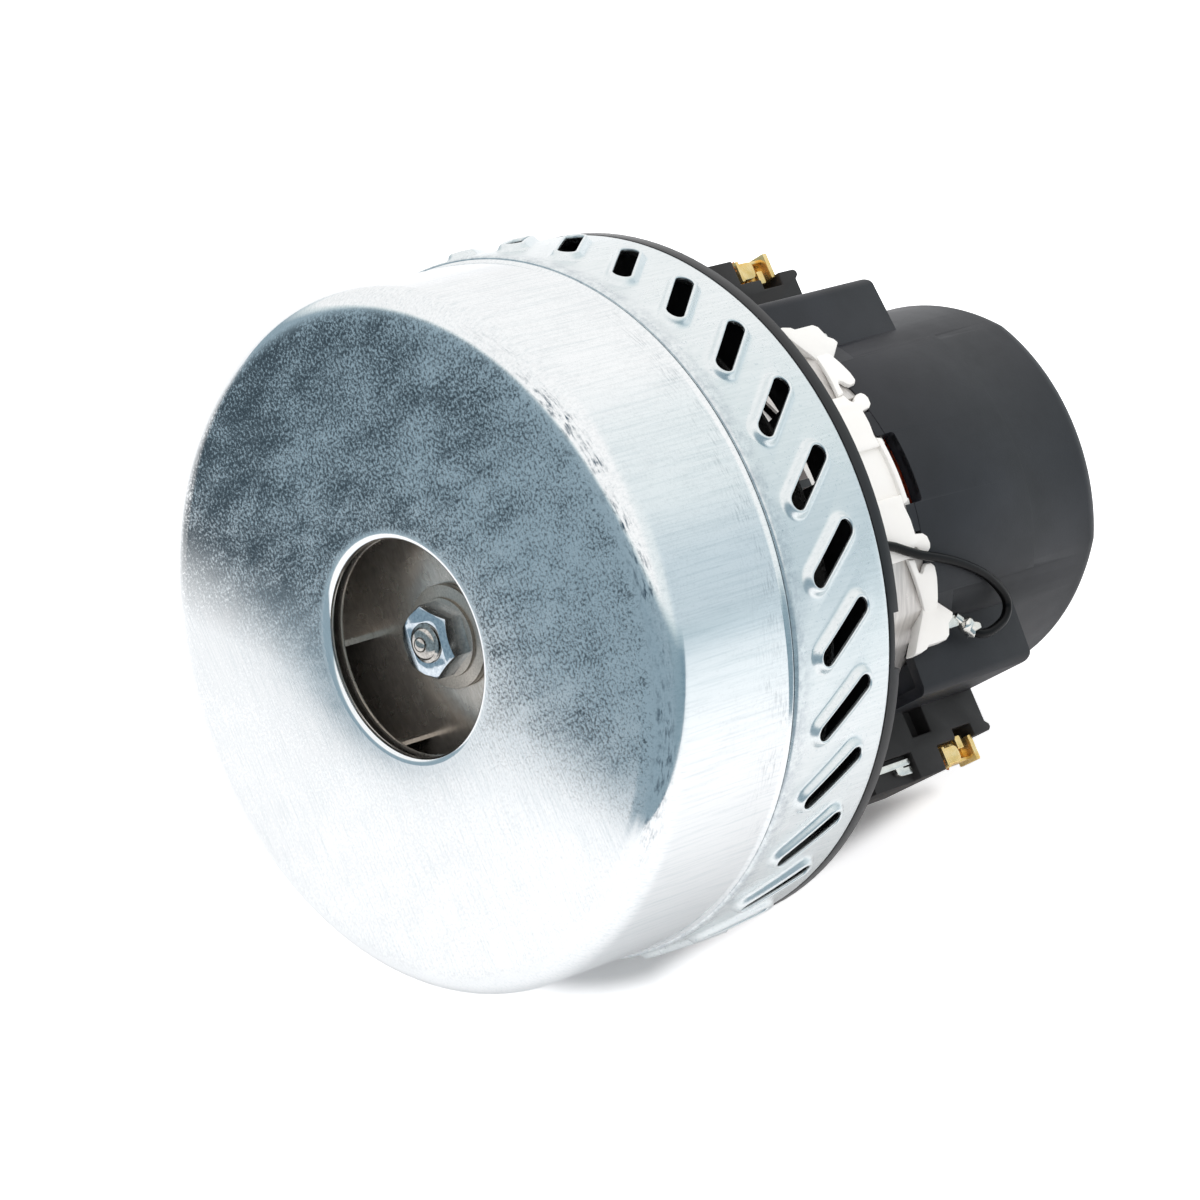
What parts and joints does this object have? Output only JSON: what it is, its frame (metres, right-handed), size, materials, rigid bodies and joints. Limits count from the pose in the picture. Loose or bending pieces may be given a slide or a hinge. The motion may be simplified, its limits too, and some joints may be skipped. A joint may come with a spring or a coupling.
{
  "type": "vacuum motor unit",
  "caption": "Bypass vacuum motor: drawn sheet fan case with a louvred outlet ring, impellers on one shaft, and a black brush motor behind it.",
  "frame": {"origin": "centre of the flat inlet face, on the shaft's axis", "axes": "+Z along the shaft from the inlet face to the rear cover, +X along the two brushes, +Y towards the side with the lead wire"},
  "size_m": [0.1476, 0.1472, 0.1652],
  "materials": {
    "zinc_sheet": "galvanised, satin",
    "inner_sheet": "mill finish",
    "black_plastic": "fine moulded texture",
    "holder_plastic": "moulded thermoset",
    "bearing_steel": "ground",
    "steel": "turned",
    "bright_zinc": "bright zinc plate",
    "lamination": "stacked sheet",
    "enamel_wire": "enamelled copper wire",
    "ivory_plastic": "moulded",
    "tinned_metal": "tinned",
    "wire_sleeve": "satin sleeve",
    "brass": "bright",
    "impeller_sheet": "rolled sheet",
    "copper": "turned copper",
    "carbon": "pressed carbon",
    "spring_steel": "drawn wire"
  },
  "bodies": {
    "motor_frame": {"fan_cover": "zinc_sheet", "louvre_ring": "zinc_sheet", "stage_guide": "inner_sheet", "motor_bracket": "black_plastic", "front_bearing": "bearing_steel", "bearing_retainer": "steel", "stator_core": "lamination", "stator_screws": "steel", "field_coil_a": "enamel_wire", "field_coil_b": "enamel_wire", "front_frame": "ivory_plastic", "rear_frame": "ivory_plastic", "terminal_tabs": "tinned_metal", "lead_crimp": "tinned_metal", "lead_wire": "wire_sleeve", "rear_cover": "black_plastic", "rear_bearing": "bearing_steel", "brush_holder_a": "holder_plastic", "brush_holder_b": "holder_plastic", "brush_tube_a": "brass", "brush_tube_b": "brass", "brush_terminal_a": "tinned_metal", "brush_terminal_b": "tinned_metal", "brush_spring_a": "spring_steel", "brush_spring_b": "spring_steel"},
    "rotor": {"shaft": "steel", "lock_nut": "bright_zinc", "thin_washer": "steel", "clamp_washer": "steel", "impeller_1_front": "impeller_sheet", "impeller_1_vanes": "impeller_sheet", "impeller_1_back": "impeller_sheet", "stage_spacer": "steel", "impeller_2_front": "impeller_sheet", "impeller_2_vanes": "impeller_sheet", "impeller_2_back": "impeller_sheet", "bearing_spacer": "steel", "front_bearing_race": "bearing_steel", "rear_bearing_race": "bearing_steel", "armature_core": "lamination", "armature_winding": "enamel_wire", "commutator": "copper", "cooling_fan": "ivory_plastic"},
    "brush_a": {"carbon_brush_a": "carbon"},
    "brush_b": {"carbon_brush_b": "carbon"}
  },
  "joints": [
    {"name": "rotor_spin", "type": "hinge", "parent": "motor_frame", "child": "rotor", "pos_m": [0, 0, 0], "axis": [0, 0, 1], "continuous": true},
    {"name": "brush_a_lift", "type": "slide", "parent": "motor_frame", "child": "brush_a", "axis": [1, 0, 0], "range_m": [0, 0.006], "stiffness_N_per_m": 250, "springref_m": -0.012, "deforming": ["brush_spring_a"]},
    {"name": "brush_b_lift", "type": "slide", "parent": "motor_frame", "child": "brush_b", "axis": [-1, 0, 0], "range_m": [0, 0.006], "stiffness_N_per_m": 250, "springref_m": -0.012, "deforming": ["brush_spring_b"]}
  ]
}
